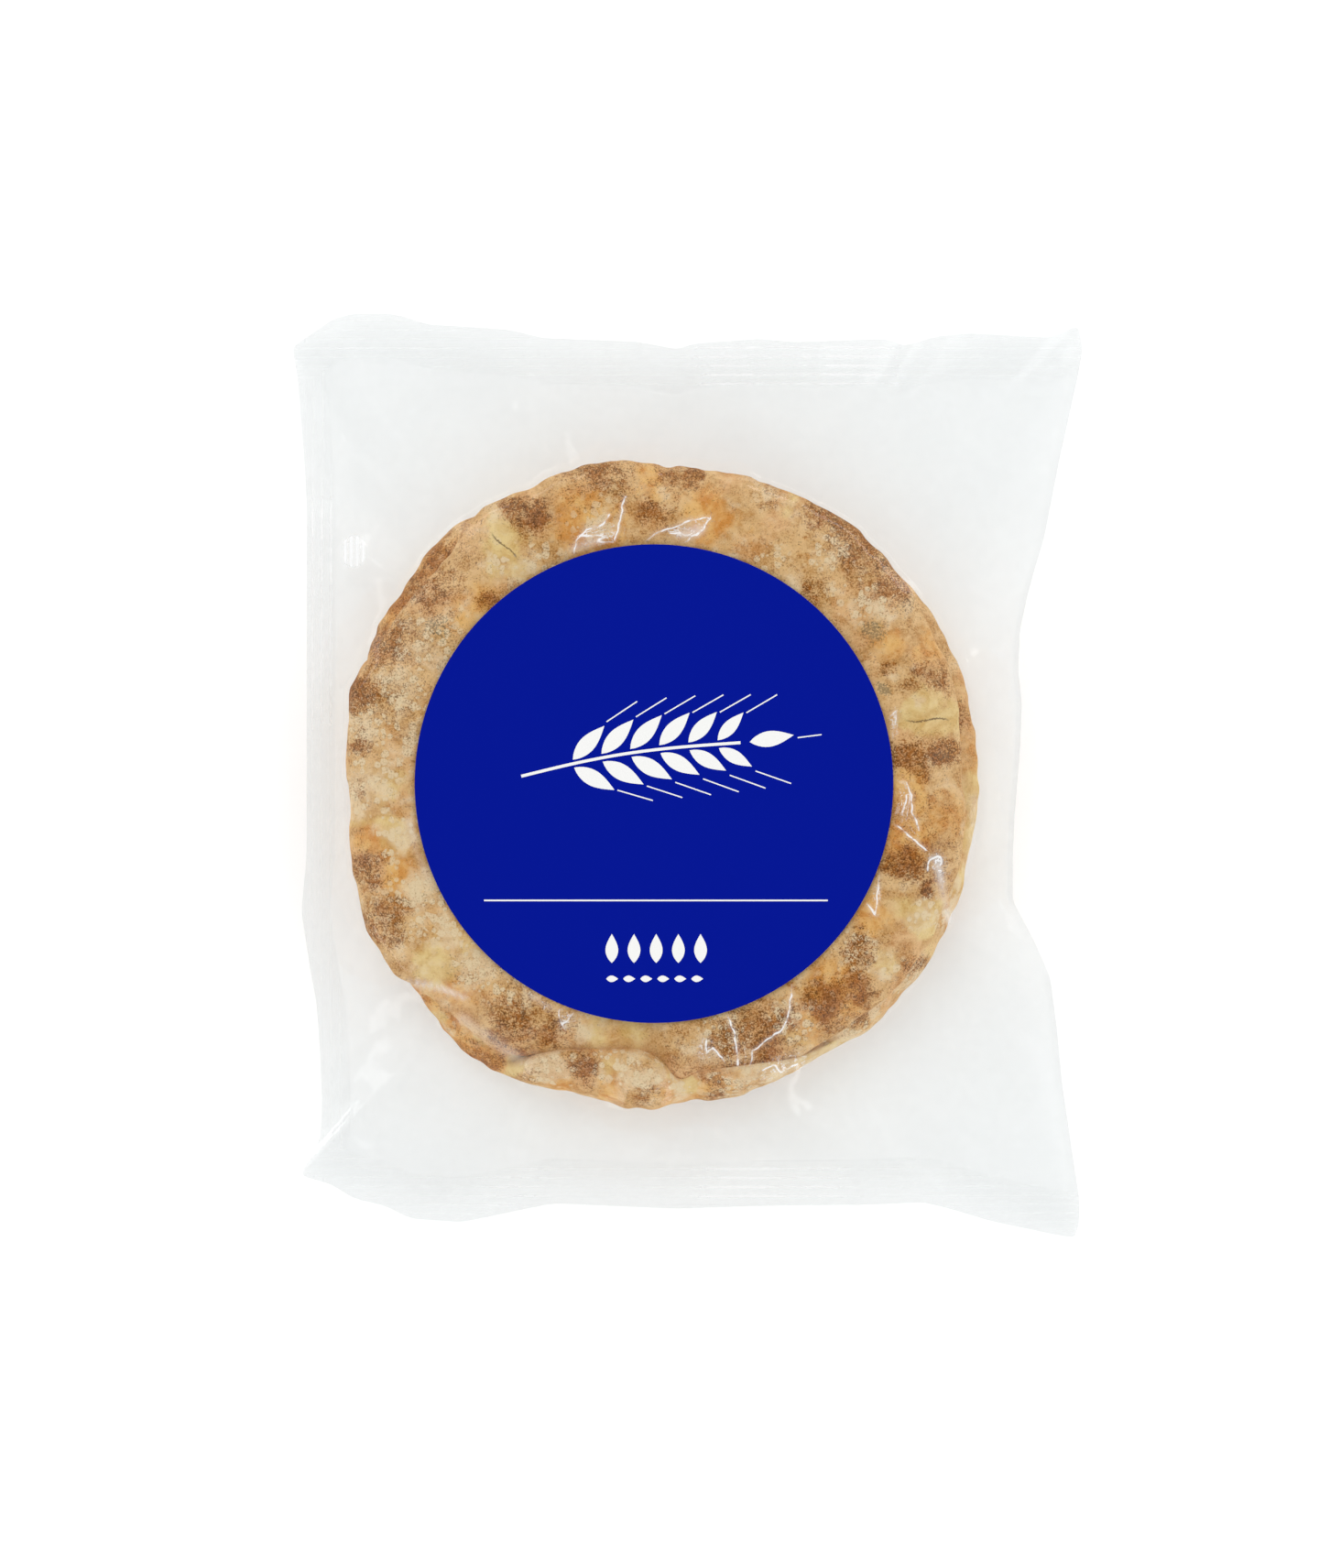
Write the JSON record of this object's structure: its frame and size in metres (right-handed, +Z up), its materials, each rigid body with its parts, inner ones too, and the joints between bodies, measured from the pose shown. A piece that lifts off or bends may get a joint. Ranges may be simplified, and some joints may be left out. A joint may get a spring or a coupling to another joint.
{
  "type": "pita bread",
  "caption": "Round pita breads stacked flat and sealed in a clear film pouch with a round plain label on the front.",
  "frame": {"origin": "middle of the pouch's outline, at the level of the table it lies on", "axes": "+X to the pouch's folded side, +Y to its top seal, +Z up, out of the labelled front"},
  "size_m": [0.2172, 0.2538, 0.0265],
  "materials": {
    "pita_crust": "matte",
    "clear_film": "gloss",
    "label_stock": "satin"
  },
  "bodies": {
    "root": {"lower_pita": "pita_crust", "upper_pita": "pita_crust", "film_pouch": "clear_film", "round_label": "label_stock"}
  },
  "joints": []
}
